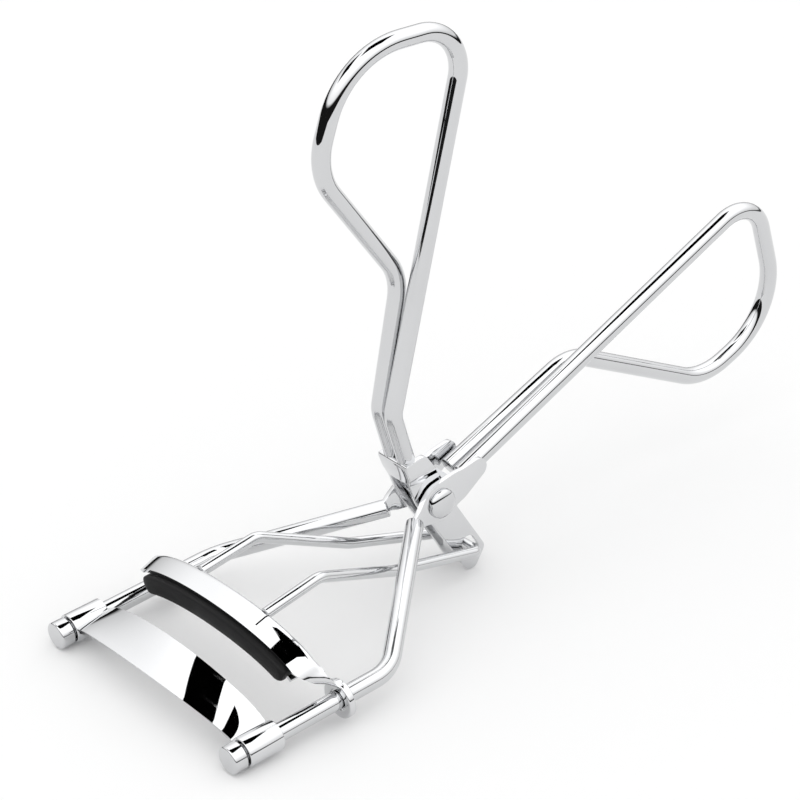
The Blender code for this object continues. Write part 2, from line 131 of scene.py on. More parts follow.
# Pivot and yokes
PIVOT_Y, PIVOT_Z = 52.7, 8.3
RIVET_RADIUS = 1.15
RIVET_HEAD_RADIUS = 2.3
RIVET_HEAD_HEIGHT = 1.2
RIVET_SEAT_GAP = 0.05
RIVET_RIM, RIVET_RIM_EASE = 0.25, 0.08
FRAME_CHEEK_INNER_X = 2.7
FRAME_CHEEK_FLARE = 0.3
FRAME_CHEEK_DISCS = ((48.5, 7.2, 1.15), (52.6, 8.4, 3.2), (59.8, 11.0, 1.6))
FRAME_WEB = ((56.6, 7.3), (58.1, 8.25), (57.75, 8.85), (56.25, 7.9))
LEVER_HALF_WIDTH = 2.4
LEVER_SHEET = 0.7
LEVER_WEB_END_Z = 12.8
LEVER_FLARE_Z, LEVER_FLARE, LEVER_FLARE_RUN = 12.3, 0.75, 2.5
CUT_STEP = 0.25
CHEEK_FIRST_CUT_Y, CHEEK_CUTS, FLARE_CUTS = 48.15, 54, 12
LEVER_FRONT_EDGE = ((46.9, 16.8), (49.2, 8.9), (52.2, 3.6), (55.4, -2.2), (56.7, -4.9))
LEVER_FOOT = ((57.7, -6.5), (59.2, -6.616))
LEVER_BACK_EDGE = ((61.3, -3.7), (56.4, 5.6), (55.3, 8.6), (54.2, 11.2), (50.8, 17.2))

# Push wires and slots
HOOK_Y, HOOK_Z = 58.8, -3.1
HOOK_TIP_X = 0.35
PUSH_WIRE_X = 3.6
PUSH_WIRE_FRONT = (7.3, CHANNEL_BACK_Y + 0.1, 8.75)
PUSH_WIRE_CREST = (7.1, 27.2, 9.9)
PUSH_WIRE_DIP = (5.0, 41.8, 2.6)
PUSH_WIRE_BENDS = (3.0, 8.0, 1.1)
PUSH_WIRE_END_ROUND = 0.15
SLOT_INNER_RADIUS, SLOT_OUTER_RADIUS = 11.35, 13.05
SLOT_CLEARANCE = 0.3

# Finger loops
WIRE_OFFSET_X = 1.4
LEVER_WIRE_START = (48.75, 15.6)
LEVER_KNEE = (46.75, 24.9)
LEVER_GRIP_ANGLE = math.radians(71.6)
LEVER_LOOP = ((57.7, 0.0), (52.9, 20.2), (36.3, 20.8), (20.0, 1.0))
FRAME_WIRE_START = (58.3, 9.68)
FRAME_GRIP_ANGLE = math.radians(20.3)
FRAME_LOOP = ((64.9, 0.0), (62.2, 24.2), (45.2, 24.4), (26.0, 0.8))
LOOP_RADII = (6.5, 12.0, 10.0, 8.0)

# Studio
WORLD_STRENGTH = 1.04
FLOOR_HALF_SIZE = 0.7
HORIZON_LOW, HORIZON_HIGH = 0.12, 0.2
HORIZON_LEAN = 0.13
SKY_LOW, SKY_HIGH = 0.95, 1.6

# Fineness of the meshes
WIRE_SIDES = 36
ARC_STEP = math.radians(4)
TURNED_STEPS = 64


# ---------------------------------------------------------------- mesh helpers


def finish_piece(name, bm, body, node, material, sharp=40):
    """Turns a bmesh in the mechanism frame into a named piece on its body."""
    bmesh.ops.remove_doubles(bm, verts=bm.verts, dist=0.002)
    bmesh.ops.recalc_face_normals(bm, faces=bm.faces)
    for vert in bm.verts:
        vert.co = STAND @ (vert.co * MM)
    mesh = bpy.data.meshes.new(name)
    bm.to_mesh(mesh)
    bm.free()
    piece = bpy.data.objects.new(name, mesh)
    bpy.context.scene.collection.objects.link(piece)
    mesh.shade_smooth()
    mesh.set_sharp_from_angle(angle=math.radians(sharp))
    mesh.materials.append(material)
    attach(piece, body)
    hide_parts(node)


def temp_object(name, bm):
    mesh = bpy.data.meshes.new(name)
    bmesh.ops.recalc_face_normals(bm, faces=bm.faces)
    bm.to_mesh(mesh)
    bm.free()
    made = bpy.data.objects.new(name, mesh)
    bpy.context.scene.collection.objects.link(made)
    return made


def evaluated_bmesh(obj):
    """The object's mesh with its modifiers applied, as a bmesh; the object is removed."""
    bpy.context.view_layer.update()
    graph = bpy.context.evaluated_depsgraph_get()
    mesh = bpy.data.meshes.new_from_object(obj.evaluated_get(graph))
    bm = bmesh.new()
    bm.from_mesh(mesh)
    bpy.data.meshes.remove(mesh)
    operands = [mod.object for mod in obj.modifiers if mod.type == "BOOLEAN"]
    for used in [obj, *operands]:
        if used.name in bpy.data.objects:
            bpy.data.objects.remove(used)
    return bm


def boolean(obj, other, operation):
    modifier = obj.modifiers.new(operation.title(), "BOOLEAN")
    modifier.operation = operation
    modifier.object = other
    modifier.solver = "EXACT"
    other.hide_render = True


def soften(obj, width=0.12, segments=3, angle=35):
    bevel = obj.modifiers.new("Bevel", "BEVEL")
    bevel.width = width
    bevel.segments = segments
    bevel.limit_method = "ANGLE"
    bevel.angle_limit = math.radians(angle)
    bevel.use_clamp_overlap = True


def rounded_path(corners, radii):
    """The corners' polyline with each inner corner replaced by an arc of its radius."""
    corners = [Vector(corner) for corner in corners]
    points = [corners[0]]
    for before, corner, after, radius in zip(corners, corners[1:], corners[2:], radii):
        to_before = (before - corner).normalized()
        to_after = (after - corner).normalized()
        half_angle = to_before.angle(to_after) / 2
        turn = math.pi - 2 * half_angle
        centre = corner + (to_before + to_after).normalized() * radius / math.sin(half_angle)
        start = corner + to_before * radius / math.tan(half_angle)
        axis = to_before.cross(to_after).normalized()
        steps = max(4, round(turn / ARC_STEP))
        for step in range(steps + 1):
            spin = Matrix.Rotation(-turn * step / steps, 3, axis)
            points.append(centre + spin @ (start - centre))
    points.append(corners[-1])
    return points


def wire_bmesh(points, radius, end_round=0.22):
    """A round wire along the points, with its two cut ends eased over."""
    first = (points[1] - points[0]).normalized()
    last = (points[-1] - points[-2]).normalized()
    ease = [math.pi / 2 * step / 3 for step in range(4)]
    rows = [
        (points[0] + first * end_round * (1 - math.cos(turn)), first,
         radius - end_round * (1 - math.sin(turn)))
        for turn in ease
    ]
    for before, point, after in zip(points, points[1:], points[2:]):
        tangent = ((point - before).normalized() + (after - point).normalized()).normalized()
        rows.append((point, tangent, radius))
    rows += [
        (points[-1] - last * end_round * (1 - math.cos(turn)), last,
         radius - end_round * (1 - math.sin(turn)))
        for turn in ease[::-1]
    ]

    bm = bmesh.new()
    side = rows[0][1].orthogonal().normalized()
    rings = []
    for point, tangent, ring_radius in rows:
        side = (side - tangent * side.dot(tangent)).normalized()
        other = tangent.cross(side)
        ring = []
        for index in range(WIRE_SIDES):
            angle = 2 * math.pi * index / WIRE_SIDES
            out = side * math.cos(angle) + other * math.sin(angle)
            ring.append(bm.verts.new(point + out * ring_radius))
        rings.append(ring)
    for ring, following in zip(rings, rings[1:]):
        for index in range(WIRE_SIDES):
            after = (index + 1) % WIRE_SIDES
            bm.faces.new((ring[index], ring[after], following[after], following[index]))
    bm.faces.new(rings[0][::-1])
    bm.faces.new(rings[-1])
    return bm


def turned_bmesh(profile, axis, centre, closed=False):
    """A (radius, along) profile turned about an axis through the centre."""
    turn = Vector((0, 0, 1)).rotation_difference(Vector(axis)).to_matrix()
    centre = Vector(centre)
    bm = bmesh.new()
    rings = []
    for radius, along in profile:
        if radius < 1e-6:
            rings.append([bm.verts.new(centre + turn @ Vector((0, 0, along)))])
            continue
        ring = []
        for index in range(TURNED_STEPS):
            angle = 2 * math.pi * index / TURNED_STEPS
            spot = Vector((radius * math.cos(angle), radius * math.sin(angle), along))
            ring.append(bm.verts.new(centre + turn @ spot))
        rings.append(ring)
    pairs = list(zip(rings, rings[1:]))
    if closed:
        pairs.append((rings[-1], rings[0]))
    for ring, following in pairs:
        for index in range(TURNED_STEPS):
            after = (index + 1) % TURNED_STEPS
            if len(ring) == 1:
                bm.faces.new((ring[0], following[after], following[index]))
            elif len(following) == 1:
                bm.faces.new((ring[index], ring[after], following[0]))
            else:
                bm.faces.new((ring[index], ring[after], following[after], following[index]))
    return bm


def tube_profile(inner, outer, length, ease=0.15):
    """A sleeve's closed profile with eased outer and inner edges."""
    points = []
    corners = (
        (outer, length, -1, -1),
        (outer, 0, -1, 1),
        (inner, 0, 1, 1),
        (inner, length, 1, -1),
    )
    for number, (radius, along, dr, da) in enumerate(corners):
        arc = []
        for step in range(4):
            turn = math.pi / 2 * step / 3
            arc.append(
                (
                    radius + dr * ease * (1 - math.sin(turn)),
                    along + da * ease * (1 - math.cos(turn)),
                )
            )
        points += arc if number in (0, 2) else arc[::-1]
    return points


def plate_bmesh(outline, x_low, x_high):
    """A flat outline in YZ between two X planes."""
    bm = bmesh.new()
    low = [bm.verts.new((x_low, y, z)) for y, z in outline]
    high = [bm.verts.new((x_high, y, z)) for y, z in outline]
    bm.faces.new(low)
    bm.faces.new(high[::-1])
    count = len(outline)
    for index in range(count):
        after = (index + 1) % count
        bm.faces.new((low[index], high[index], high[after], low[after]))
    return bm


def round_outline(outline, radius=0.8, steps=5):
    """An outline in YZ with its corners rounded."""
    rounded = []
    count = len(outline)
    for index in range(count):
        corner = Vector(outline[index])
        before = Vector(outline[index - 1])
        after = Vector(outline[(index + 1) % count])
        to_before, to_after = (before - corner), (after - corner)
        reach = min(radius, to_before.length * 0.45, to_after.length * 0.45)
        start = corner + to_before.normalized() * reach
        end = corner + to_after.normalized() * reach
        for step in range(steps + 1):
            t = step / steps
            rounded.append(tuple(start * (1 - t) ** 2 + corner * 2 * t * (1 - t) + end * t**2))
    return rounded


def disc_hull(discs, samples=96):
    """The outline wrapped round discs given as (y, z, radius), anticlockwise."""
    points = []
    for y, z, radius in discs:
        for index in range(samples):
            angle = 2 * math.pi * index / samples
            points.append((y + radius * math.cos(angle), z + radius * math.sin(angle)))
    points.sort()

    def chain(ordered):
        hull = []
        for point in ordered:
            while len(hull) > 1 and turn_of(hull[-2], hull[-1], point) <= 0:
                hull.pop()
            hull.append(point)
        return hull[:-1]

    return chain(points) + chain(points[::-1])


def turn_of(a, b, c):
    return (b[0] - a[0]) * (c[1] - a[1]) - (b[1] - a[1]) * (c[0] - a[0])


def join(bm, other):
    """Adds another piece of geometry to the first, as a shell of its own."""
    mesh = bpy.data.meshes.new("joined")
    other.to_mesh(mesh)
    other.free()
    bm.from_mesh(mesh)
    bpy.data.meshes.remove(mesh)


def smoothstep(value):
    value = min(max(value, 0.0), 1.0)
    return value * value * (3 - 2 * value)


def strip_object(name, rows, thickness):
    """A sheet through rows of points, from the middle plane outwards, mirrored in X."""
    bm = bmesh.new()
    for sign in (1, -1):
        grid = [[bm.verts.new((p[0] * sign, p[1], p[2])) for p in row] for row in rows]
        for row, following in zip(grid, grid[1:]):
            for a, b, c, d in zip(row, row[1:], following[1:], following):
                bm.faces.new((a, b, c, d) if sign > 0 else (d, c, b, a))
    bmesh.ops.remove_doubles(bm, verts=bm.verts, dist=0.002)
    obj = temp_object(name, bm)
    solidify = obj.modifiers.new("Solidify", "SOLIDIFY")
    solidify.thickness = thickness
    solidify.offset = 0
    solidify.use_even_offset = True
    return obj


# ---------------------------------------------------------------- materials


def node_graph(name):
    material = bpy.data.materials.new(name)
    material.use_nodes = True
    tree = material.node_tree
    return material, tree, tree.nodes["Principled BSDF"]


def add(tree, kind, **values):
    node = tree.nodes.new(kind)
    for key, value in values.items():
        setattr(node, key, value)
    return node


def remap(tree, source, low, high, start=0.0, end=1.0):
    ramp = add(tree, "ShaderNodeMapRange")
    ramp.inputs["From Min"].default_value = start
    ramp.inputs["From Max"].default_value = end
    ramp.inputs["To Min"].default_value = low
    ramp.inputs["To Max"].default_value = high
    tree.links.new(source, ramp.inputs["Value"])
    return ramp.outputs["Result"]


def chrome_material(name, tint, rough_low, rough_high, scratch_stretch):
    """Polished plating: faint clouding, hairline scratches and a barely uneven surface."""
    material, tree, shader = node_graph(name)
    coords = add(tree, "ShaderNodeTexCoord")

    clouds = add(tree, "ShaderNodeTexNoise")
    clouds.inputs["Scale"].default_value = 140.0
    clouds.inputs["Detail"].default_value = 4.0
    tree.links.new(coords.outputs["Object"], clouds.inputs["Vector"])

    stretch = add(tree, "ShaderNodeMapping")
    stretch.inputs["Scale"].default_value = scratch_stretch
    stretch.inputs["Rotation"].default_value = (0.3, 0.5, 0.4)
    tree.links.new(coords.outputs["Object"], stretch.inputs["Vector"])
    hairs = add(tree, "ShaderNodeTexNoise")
    hairs.inputs["Scale"].default_value = 900.0
    hairs.inputs["Detail"].default_value = 2.0
    tree.links.new(stretch.outputs["Vector"], hairs.inputs["Vector"])
    scratches = remap(tree, hairs.outputs["Fac"], 0.0, 1.0, 0.63, 0.72)

    rough = remap(tree, clouds.outputs["Fac"], rough_low, rough_high, 0.35, 0.7)
    mixed = add(tree, "ShaderNodeMath", operation="MULTIPLY_ADD")
    mixed.inputs[1].default_value = 0.07
    tree.links.new(scratches, mixed.inputs[0])
    tree.links.new(rough, mixed.inputs[2])
    tree.links.new(mixed.outputs["Value"], shader.inputs["Roughness"])

    colour = add(tree, "ShaderNodeMix", data_type="RGBA")
    colour.inputs["A"].default_value = (*tint, 1.0)
    colour.inputs["B"].default_value = (*[c * 0.93 for c in tint], 1.0)
    tree.links.new(clouds.outputs["Fac"], colour.inputs["Factor"])
    tree.links.new(colour.outputs["Result"], shader.inputs["Base Color"])

    swell = add(tree, "ShaderNodeTexNoise")
    swell.inputs["Scale"].default_value = 260.0
    swell.inputs["Detail"].default_value = 1.0
    tree.links.new(coords.outputs["Object"], swell.inputs["Vector"])
    bump = add(tree, "ShaderNodeBump")
    bump.inputs["Strength"].default_value = 0.04
    bump.inputs["Distance"].default_value = 0.00005
    tree.links.new(swell.outputs["Fac"], bump.inputs["Height"])
    fine = add(tree, "ShaderNodeBump", invert=True)
    fine.inputs["Strength"].default_value = 0.02
    fine.inputs["Distance"].default_value = 0.00001
    tree.links.new(scratches, fine.inputs["Height"])
    tree.links.new(bump.outputs["Normal"], fine.inputs["Normal"])
    tree.links.new(fine.outputs["Normal"], shader.inputs["Normal"])

    shader.inputs["Metallic"].default_value = 1.0
    return material


def silicone_material():
    """Black moulded silicone, unevenly matte, with a fine moulding grain."""
    material, tree, shader = node_graph("black_silicone")
    coords = add(tree, "ShaderNodeTexCoord")
    grain = add(tree, "ShaderNodeTexNoise")
    grain.inputs["Scale"].default_value = 2600.0
    grain.inputs["Detail"].default_value = 5.0
    broad = add(tree, "ShaderNodeTexNoise")
    broad.inputs["Scale"].default_value = 170.0
    broad.inputs["Detail"].default_value = 3.0
    for noise in (grain, broad):
        tree.links.new(coords.outputs["Object"], noise.inputs["Vector"])
    colour = add(tree, "ShaderNodeMix", data_type="RGBA")
    colour.inputs["A"].default_value = (0.0035, 0.0035, 0.0038, 1.0)
    colour.inputs["B"].default_value = (0.009, 0.009, 0.0095, 1.0)
    tree.links.new(broad.outputs["Fac"], colour.inputs["Factor"])
    tree.links.new(colour.outputs["Result"], shader.inputs["Base Color"])
    rough = remap(tree, broad.outputs["Fac"], 0.46, 0.64, 0.3, 0.7)
    tree.links.new(rough, shader.inputs["Roughness"])
    bump = add(tree, "ShaderNodeBump")
    bump.inputs["Strength"].default_value = 0.22
    bump.inputs["Distance"].default_value = 0.00005
    tree.links.new(grain.outputs["Fac"], bump.inputs["Height"])
    tree.links.new(bump.outputs["Normal"], shader.inputs["Normal"])
    shader.inputs["Specular IOR Level"].default_value = 0.22
    return material


WIRE_CHROME = chrome_material("chrome_wire", (0.66, 0.665, 0.675), 0.02, 0.05, (1, 1, 0.08))
SHEET_CHROME = chrome_material("chrome_sheet", (0.70, 0.705, 0.715), 0.015, 0.04, (0.08, 1, 1))
TURNED_CHROME = chrome_material("chrome_turned", (0.66, 0.665, 0.675), 0.03, 0.07, (1, 0.1, 1))
SILICONE = silicone_material()


# ---------------------------------------------------------------- pieces


def make_guide_rod(side, name):
    corners = [
        (side * ROD_X, ROD_START_Y, 0),
        (side * ROD_X, ROD_BEND_Y, 0),
        (side * ROD_END[0], ROD_END[1], ROD_END[2]),
    ]
    bm = wire_bmesh(rounded_path(corners, [ROD_BEND_RADIUS]), WIRE_RADIUS)
    finish_piece(f"{name}_wire", bm, "frame", name, WIRE_CHROME)


def make_rod_cap(side, name):
    """A turned cup with an eased rim and a shallow dished face."""
    ease = 0.28
    profile = [(0, 0.06), (CAP_RADIUS * 0.45, 0.03), (CAP_RADIUS - ease - 0.12, 0.0)]
    for step in range(5):
        turn = math.pi / 2 * step / 4
        profile.append(
            (CAP_RADIUS - ease + ease * math.sin(turn), ease - ease * math.cos(turn))
        )
    profile += [
        (CAP_RADIUS, CAP_LENGTH - 0.1),
        (CAP_RADIUS - 0.1, CAP_LENGTH),
        (BORE_RADIUS, CAP_LENGTH),
        (BORE_RADIUS, 0.9),
        (0, 0.9),
    ]
    bm = turned_bmesh(profile, (0, 1, 0), (side * ROD_X, 0, 0))
    finish_piece(f"{name}_turned", bm, "frame", name, TURNED_CHROME)


def make_fixed_jaw():
    """An arched sheet, higher at its clamping edge, with a sleeve round each rod."""
    rows = []
    stations, across = 56, 10
    for station in range(stations + 1):
        x = FIXED_HALF_WIDTH * math.sin(math.pi / 2 * station / stations)
        s = x / FIXED_HALF_WIDTH
        crown = max(0.0, 1 - s * s)
        front_y = FIXED_FRONT_Y - FIXED_FRONT_BOW * crown
        back_y = FIXED_CLAMP_Y - FIXED_CLAMP_BOW * crown
        front = Vector((x, front_y, FIXED_FRONT_END_Z + FIXED_FRONT_ARCH * crown**FIXED_FRONT_POWER))
        back = Vector((x, back_y, FIXED_CLAMP_END_Z + FIXED_CLAMP_ARCH * crown**FIXED_CLAMP_POWER))
        rows.append([front.lerp(back, step / across) for step in range(across + 1)])
    jaw = strip_object("fixed_jaw_sheet", rows, SHEET)
    soften(jaw, 0.1, 2, 50)
    bm = evaluated_bmesh(jaw)
    profile = tube_profile(BORE_RADIUS, SLEEVE_RADIUS, SLEEVE_LENGTH, 0.12)
    for side in (-1, 1):
        centre = (side * ROD_X, SLEEVE_START_Y, 0)
        join(bm, turned_bmesh(profile, (0, 1, 0), centre, closed=True))
    finish_piece("fixed_jaw_sheet", bm, "frame", "fixed_jaw", SHEET_CHROME)


def moving_arch(x):
    s = abs(x) / MOVING_ARCH_HALF_WIDTH
    return MOVING_ARCH_BASE_Z + MOVING_ARCH_RISE * (1 - s * s) ** MOVING_ARCH_POWER


def arch_frame(x):
    step = 0.01
    slope = (moving_arch(x + step) - moving_arch(x - step)) / (2 * step)
    return Vector((x, 0, moving_arch(x))), Vector((-slope, 0, 1)).normalized()


def bezier(points, t):
    a, b, c = (Vector(point) for point in points)
    return a * (1 - t) ** 2 + b * 2 * t * (1 - t) + c * t**2


def fold(before, corner, after, radius=0.7, steps=4):
    """Points round a fold of the sheet."""
    start = corner + (before - corner).normalized() * radius
    end = corner + (after - corner).normalized() * radius
    return [bezier((start, corner, end), step / steps) for step in range(steps + 1)]


def slit_cutter():
    """A thin block that cuts the slit in the top plate, beside the right push wire."""
    bm = bmesh.new()
    bmesh.ops.create_cube(bm, size=1.0)
    middle_y = CHANNEL_BACK_Y - SLIT_SETBACK
    middle_z = moving_arch(SLIT_X) + 0.9
    for vert in bm.verts:
        x, y, z = vert.co
        vert.co = (x * SLIT_WIDTH + SLIT_X, y * SLIT_LENGTH + middle_y, z * SLIT_HEIGHT + middle_z)
    return temp_object("slit", bm)


def make_moving_jaw():
    """A folded channel that opens to the front, then a leg down to an eyelet on each side."""
    rows = []
    stations = 44
    for station in range(stations + 1):
        x = CHANNEL_HALF_WIDTH * station / stations
        point, normal = arch_frame(x)
        front = point + Vector((0, CHANNEL_FRONT_Y, 0))
        back = point + normal * CHANNEL_BACK_RISE + Vector((0, CHANNEL_BACK_Y, 0))
        bend = point - normal * CHANNEL_DEPTH
        low_back = bend + Vector((0, CHANNEL_BACK_Y, 0))
        low_front = bend + Vector((0, CHANNEL_LIP_Y, 0))
        upper = fold(front, back, low_back)
        lower = fold(back, low_back, low_front)
        top = [front.lerp(upper[0], step / 3) for step in range(3)]
        rows.append([*top, *upper, *lower, low_front])
    tops = len(top) + len(upper)
    edge = rows[-1]
    start_front, start_back = edge[0], edge[tops - 1]
    front_leg = (start_front, LEG_FRONT_TOWARDS, LEG_FRONT_END)
    back_leg = (start_back, LEG_BACK_TOWARDS, LEG_BACK_END)
    leg_stations = 18
    spread = [(spot - start_front).length for spot in edge[:tops]]
    for station in range(1, leg_stations + 1):
        t = station / leg_stations
        front = bezier(front_leg, t)
        back = bezier(back_leg, t)
        row = []
        for spot, along in zip(edge[:tops], spread):
            share = along / spread[-1]
            droop = (spot - start_front.lerp(start_back, share)) * (1 - smoothstep(t * LEG_DROOP_RATE))
            row.append(front.lerp(back, share) + droop)
        rows.append(row)
    jaw = strip_object("moving_jaw_sheet", rows, MOVING_SHEET)
    soften(jaw, 0.1, 2)
    boolean(jaw, slit_cutter(), "DIFFERENCE")
    bm = evaluated_bmesh(jaw)
    profile = tube_profile(EYELET_BORE, EYELET_RADIUS, EYELET_LENGTH, EYELET_EASE)
    for side in (-1, 1):
        centre = (side * ROD_X, EYELET_Y - EYELET_LENGTH / 2, 0)
        join(bm, turned_bmesh(profile, (0, 1, 0), centre, closed=True))
    finish_piece("moving_jaw_sheet", bm, "carriage", "moving_jaw", SHEET_CHROME)


def make_silicone_strip():
    """The strip's lobe hangs in front of the channel's lip; its stem fills the channel."""
    stations = 72
    top_gap = MOVING_SHEET / 2 + 0.15
    stem = PAD_STEM_DROP / PAD_HEIGHT
    corner = 0.45
    bm = bmesh.new()
    rings = []
    for station in range(stations + 1):
        turn = math.pi * (station / stations - 0.5)
        x = PAD_HALF_LENGTH * math.sin(turn)
        point, normal = arch_frame(x)
        past = max(0.0, abs(x) - PAD_HALF_LENGTH + PAD_END_LENGTH) / PAD_END_LENGTH
        roundness = math.sqrt(max(0.0, 1 - past**2))
        shrink = 1 - 0.5 * (1 - roundness)
        tuck = PAD_TUCK * (1 - roundness)
        profile = [(PAD_LOBE_Y, 0.0)]
        for step in range(5):
            bend = math.pi / 2 * step / 4
            profile.append(
                (
                    PAD_FRONT_Y + tuck + corner * (1 - math.sin(bend)),
                    corner / PAD_HEIGHT * (1 - math.cos(bend)),
                )
            )
        for step in range(7):
            share = (step + 1) / 8
            swell = PAD_SWELL * math.sin(math.pi * share)
            profile.append((PAD_FRONT_Y + tuck - swell, 0.11 + 0.78 * share))
        for step in range(5):
            bend = math.pi / 2 * step / 4
            profile.append(
                (
                    PAD_FRONT_Y + tuck + corner * (1 - math.cos(bend)),
                    1 - corner / PAD_HEIGHT * (1 - math.sin(bend)),
                )
            )
        profile += [
            (PAD_LOBE_Y - 0.15, 1.0),
            (PAD_LOBE_Y, 0.96),
            (PAD_LOBE_Y, stem),
            (PAD_BACK_Y, stem),
            (PAD_BACK_Y, 0.0),
        ]
        ring = []
        for y, drop in profile:
            down = top_gap + PAD_HEIGHT * (drop * shrink + (1 - shrink) * 0.35)
            ring.append(bm.verts.new(point - normal * down + Vector((0, y, 0))))
        rings.append(ring)
    for ring, following in zip(rings, rings[1:]):
        for index in range(len(ring)):
            after = (index + 1) % len(ring)
            bm.faces.new((ring[index], ring[after], following[after], following[index]))
    bm.faces.new(rings[0][::-1])
    bm.faces.new(rings[-1])
    finish_piece("silicone_strip", bm, "carriage", "silicone_pad", SILICONE, 50)


def make_push_wire(side, name):
    right_corners = [
        PUSH_WIRE_FRONT,
        PUSH_WIRE_CREST,
        PUSH_WIRE_DIP,
        (PUSH_WIRE_X, HOOK_Y, HOOK_Z),
        (HOOK_TIP_X, HOOK_Y, HOOK_Z),
    ]
    corners = [(side * x, y, z) for x, y, z in right_corners]
    path = rounded_path(corners, PUSH_WIRE_BENDS)
    bm = wire_bmesh(path, PUSH_WIRE_RADIUS, PUSH_WIRE_END_ROUND)
    finish_piece(f"{name}_hooked", bm, "carriage", name, WIRE_CHROME)


def cheek_inner_x(y):
    distance = abs(y - PIVOT_Y)
    return FRAME_CHEEK_INNER_X + FRAME_CHEEK_FLARE * smoothstep((distance - 2.6) / 1.9)


def make_frame_yoke():
    """Two cheeks that stand wider away from the pivot, with a web between them."""
    outline = disc_hull(FRAME_CHEEK_DISCS)
    cheeks = []
    for side in (-1, 1):
        bm = bmesh.new()
        bm.faces.new([bm.verts.new((0, y, z)) for y, z in outline])
        for index in range(CHEEK_CUTS):
            geometry = bm.verts[:] + bm.edges[:] + bm.faces[:]
            cut = (0, CHEEK_FIRST_CUT_Y + CUT_STEP * index, 0)
            bmesh.ops.bisect_plane(bm, geom=geometry, plane_co=cut, plane_no=(0, 1, 0))
        for vert in bm.verts:
            vert.co.x = side * (cheek_inner_x(vert.co.y) + SHEET / 2)
        cheek = temp_object("cheek", bm)
        solidify = cheek.modifiers.new("Solidify", "SOLIDIFY")
        solidify.thickness = SHEET
        solidify.offset = 0
        soften(cheek, 0.14)
        cheeks.append(temp_object("cheek", evaluated_bmesh(cheek)))
    yoke, other = cheeks
    boolean(yoke, other, "UNION")
    half = FRAME_CHEEK_INNER_X + FRAME_CHEEK_FLARE + SHEET * 0.6
    web = temp_object("web", plate_bmesh(FRAME_WEB, -half, half))
    boolean(yoke, web, "UNION")
    bm = evaluated_bmesh(yoke)
    finish_piece("frame_yoke_folded", bm, "frame", "frame_yoke", SHEET_CHROME)


def slot_outline():
    direction = Vector((HOOK_Y - PIVOT_Y, HOOK_Z - PIVOT_Z)).normalized()
    pivot = Vector((PIVOT_Y, PIVOT_Z))
    ends = [pivot + direction * radius for radius in (SLOT_INNER_RADIUS, SLOT_OUTER_RADIUS)]
    return disc_hull([(end.x, end.y, PUSH_WIRE_RADIUS + SLOT_CLEARANCE) for end in ends], 40)


def make_lever_yoke():
    """A folded channel, hollowed from a solid plate and slotted for the two hooks."""
    outline = round_outline([*LEVER_FRONT_EDGE, *LEVER_FOOT, *LEVER_BACK_EDGE])
    half = LEVER_HALF_WIDTH
    yoke = temp_object("lever_yoke", plate_bmesh(outline, -half, half))
    (top_y, top_z), (next_y, next_z) = LEVER_FRONT_EDGE[:2]
    slope = (next_y - top_y) / (next_z - top_z)
    web_y = top_y + slope * (LEVER_WEB_END_Z - top_z) + LEVER_SHEET * 1.05
    clear, below, behind = 6.0, -9.0, 66.0
    hollow = [
        (web_y + slope * clear, LEVER_WEB_END_Z + clear),
        (web_y, LEVER_WEB_END_Z),
        (web_y - clear, LEVER_WEB_END_Z),
        (web_y - clear, below),
        (behind, below),
        (behind, LEVER_WEB_END_Z + clear),
    ]
    inner = half - LEVER_SHEET
    boolean(yoke, temp_object("hollow", plate_bmesh(hollow, -inner, inner)), "DIFFERENCE")
    boolean(yoke, temp_object("slot", plate_bmesh(slot_outline(), -clear, clear)), "DIFFERENCE")
    soften(yoke, 0.12, 3, 50)
    bm = evaluated_bmesh(yoke)
    # Above the pivot the channel opens out round the two handle wires.
    for index in range(FLARE_CUTS):
        geometry = bm.verts[:] + bm.edges[:] + bm.faces[:]
        cut = (0, 0, LEVER_FLARE_Z + CUT_STEP * index)
        bmesh.ops.bisect_plane(bm, geom=geometry, plane_co=cut, plane_no=(0, 0, 1))
    for vert in bm.verts:
        flare = LEVER_FLARE * smoothstep((vert.co.z - LEVER_FLARE_Z) / LEVER_FLARE_RUN)
        vert.co.x *= 1 + flare / LEVER_HALF_WIDTH
    finish_piece("lever_yoke_folded", bm, "lever", "lever_yoke", SHEET_CHROME)


def make_pivot_rivet():
    """A shank through both yokes, with the same domed head at each end."""
    outer = FRAME_CHEEK_INNER_X + SHEET + RIVET_SEAT_GAP
    steps = 14
    dome = []
    for index in range(steps + 1):
        angle = math.pi / 2 * index / steps
        height = RIVET_RIM + (RIVET_HEAD_HEIGHT - RIVET_RIM) * math.cos(angle)
        dome.append((RIVET_HEAD_RADIUS * math.sin(angle), outer + height))
    dome += [
        (RIVET_HEAD_RADIUS, outer + RIVET_RIM_EASE),
        (RIVET_HEAD_RADIUS - RIVET_RIM_EASE, outer),
    ]
    profile = dome + [(RIVET_RADIUS, outer), (RIVET_RADIUS, -outer)]
    profile += [(radius, -along) for radius, along in dome[::-1]]
    bm = turned_bmesh(profile, (1, 0, 0), (0, PIVOT_Y, PIVOT_Z))
    finish_piece("pivot_rivet_headed", bm, "frame", "pivot_rivet", TURNED_CHROME)


def loop_corners(origin, angle, outward_sign, loop):
    along = Vector((0, math.cos(angle), math.sin(angle)))
    outward = Vector((0, -along.z, along.y)) * outward_sign
    offsets = (WIRE_OFFSET_X, WIRE_OFFSET_X / 3, -WIRE_OFFSET_X / 3, -WIRE_OFFSET_X)
    start = Vector((0, *origin))
    return [
        start + along * u + outward * w + Vector((x, 0, 0)) for (u, w), x in zip(loop, offsets)
    ]


